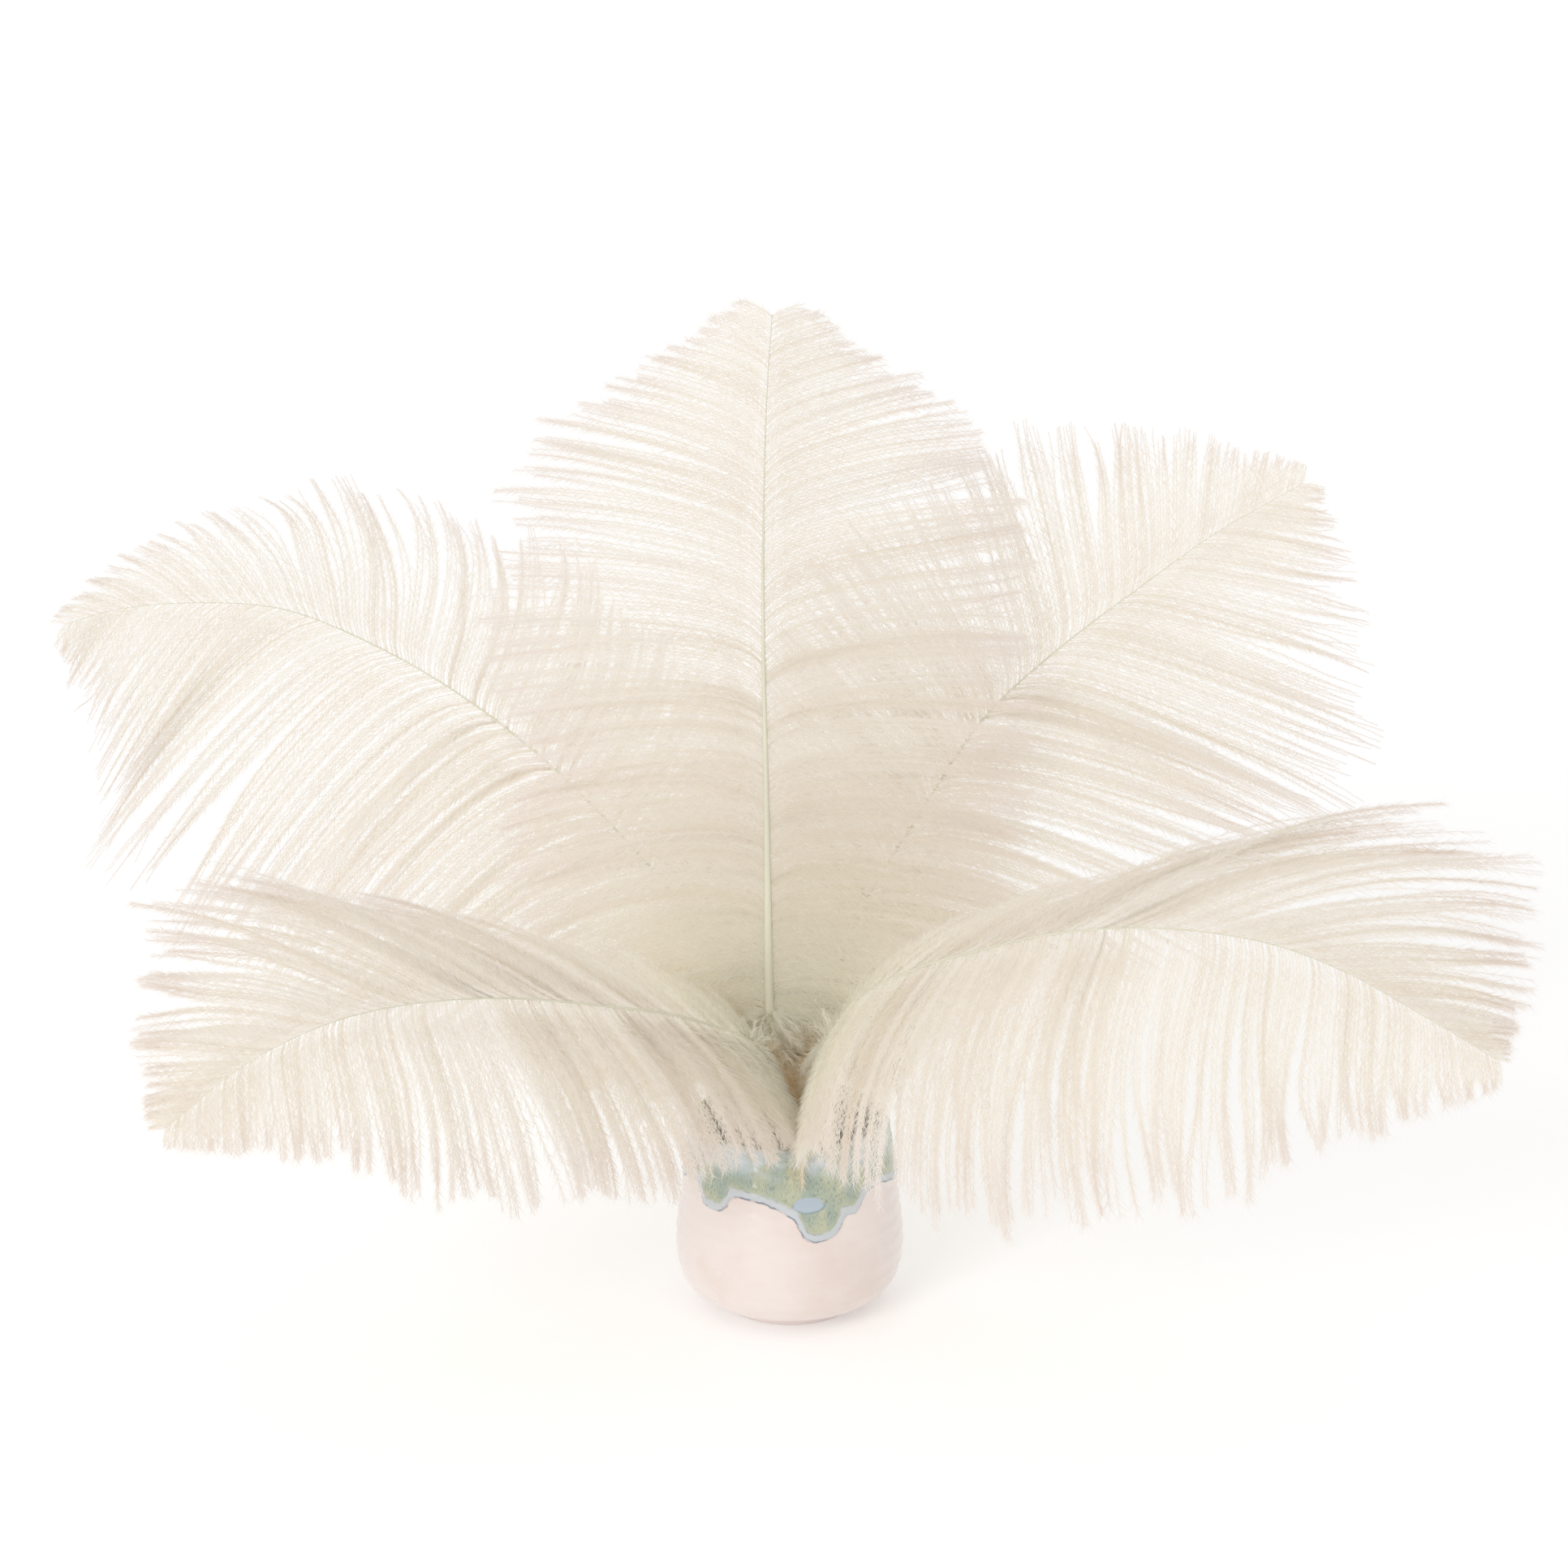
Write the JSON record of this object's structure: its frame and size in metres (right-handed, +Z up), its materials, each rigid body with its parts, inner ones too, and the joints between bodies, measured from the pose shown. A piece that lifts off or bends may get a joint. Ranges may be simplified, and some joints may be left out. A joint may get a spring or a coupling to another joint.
{
  "type": "ostrich feathers in a vase",
  "caption": "Fan of cream ostrich plumes with curled barbs, standing in a small round glazed stoneware vase.",
  "frame": {"origin": "centre of the vase's flat foot, on the surface it stands on", "axes": "+Z up, +X along the fan of plumes from left to right as seen from the front, -Y towards the front"},
  "size_m": [0.5051, 0.2469, 0.348],
  "materials": {
    "glazed_stoneware": "pale pinkish cream glaze with a glossy green and blue drip at the rim",
    "plume": "soft, matt, slightly see-through cream feather barbs"
  },
  "bodies": {
    "root": {"vase": "glazed_stoneware", "feather_center": "plume", "feather_upper_left": "plume", "feather_upper_right": "plume", "feather_lower_left": "plume", "feather_lower_right": "plume"}
  },
  "joints": []
}
